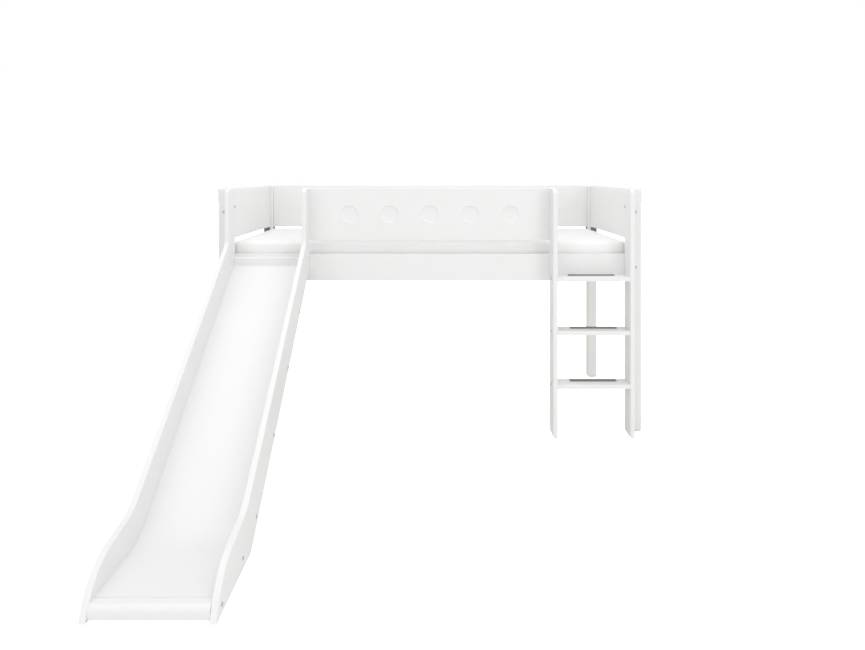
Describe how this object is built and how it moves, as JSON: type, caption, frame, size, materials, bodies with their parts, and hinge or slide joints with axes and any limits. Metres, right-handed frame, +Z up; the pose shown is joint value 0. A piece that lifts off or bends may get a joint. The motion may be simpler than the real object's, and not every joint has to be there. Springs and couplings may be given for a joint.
{
  "type": "mid-high bed with slide",
  "caption": "White mid-high child's bed with a slide and a vertical ladder on its front side, guard boards all round, a slatted base and a lift-out mattress.",
  "frame": {"origin": "on the floor, in the middle of the whole footprint, slide included", "axes": "+Z up, +Y from the slide's toe to the back of the bed, +X along the bed from the slide to the ladder"},
  "size_m": [2.095, 2.4826, 1.206],
  "materials": {
    "white_lacquer": "white satin lacquer on board",
    "slide_surface": "smooth white lacquer on a thin sheet",
    "pine": "planed, unpainted",
    "mattress_cover": "woven cover, white",
    "zinc_steel": "zinc plated",
    "grey_steel": "dark grey powder coat",
    "grip_rubber": "fine-grained anti-slip strip",
    "glide_plastic": "moulded"
  },
  "bodies": {
    "bed_frame": {"post_front_left": "white_lacquer", "glide_front_left": "glide_plastic", "post_front_right": "white_lacquer", "glide_front_right": "glide_plastic", "post_back_left": "white_lacquer", "glide_back_left": "glide_plastic", "post_back_right": "white_lacquer", "glide_back_right": "glide_plastic", "rail_front": "white_lacquer", "rail_back": "white_lacquer", "rail_left": "white_lacquer", "rail_right": "white_lacquer", "guard_front": "white_lacquer", "guard_back": "white_lacquer", "guard_left": "white_lacquer", "guard_right": "white_lacquer", "slat_ledge_front": "pine", "slat_ledge_back": "pine", "slat_01": "pine", "slat_02": "pine", "slat_03": "pine", "slat_04": "pine", "slat_05": "pine", "slat_06": "pine", "slat_07": "pine", "slat_08": "pine", "slat_09": "pine", "slat_10": "pine", "slat_11": "pine", "slat_12": "pine", "ladder_side_inner": "white_lacquer", "ladder_side_outer": "white_lacquer", "ladder_step_1": "white_lacquer", "step_grip_1": "grip_rubber", "ladder_step_2": "white_lacquer", "step_grip_2": "grip_rubber", "ladder_step_3": "white_lacquer", "step_grip_3": "grip_rubber", "slide_side_inner": "white_lacquer", "slide_side_outer": "white_lacquer", "slide_top_bar": "white_lacquer", "slide_nose": "white_lacquer", "slide_chute": "slide_surface", "slide_batten_1": "white_lacquer", "slide_batten_2": "white_lacquer", "slide_batten_3": "white_lacquer", "slide_batten_4": "white_lacquer", "slide_batten_5": "white_lacquer", "end_gap_plate_left": "grey_steel", "back_gap_plate_left": "grey_steel", "hang_bolt_left": "zinc_steel", "post_bolt_guard_left": "zinc_steel", "post_bolt_rail_left": "zinc_steel", "end_gap_plate_right": "grey_steel", "back_gap_plate_right": "grey_steel", "hang_bolt_right": "zinc_steel", "post_bolt_guard_right": "zinc_steel", "post_bolt_rail_right": "zinc_steel"},
    "mattress": {"mattress": "mattress_cover"}
  },
  "joints": [
    {"name": "mattress_lift", "type": "slide", "parent": "bed_frame", "child": "mattress", "axis": [0, 0, 1], "range_m": [0, 0.42]}
  ]
}
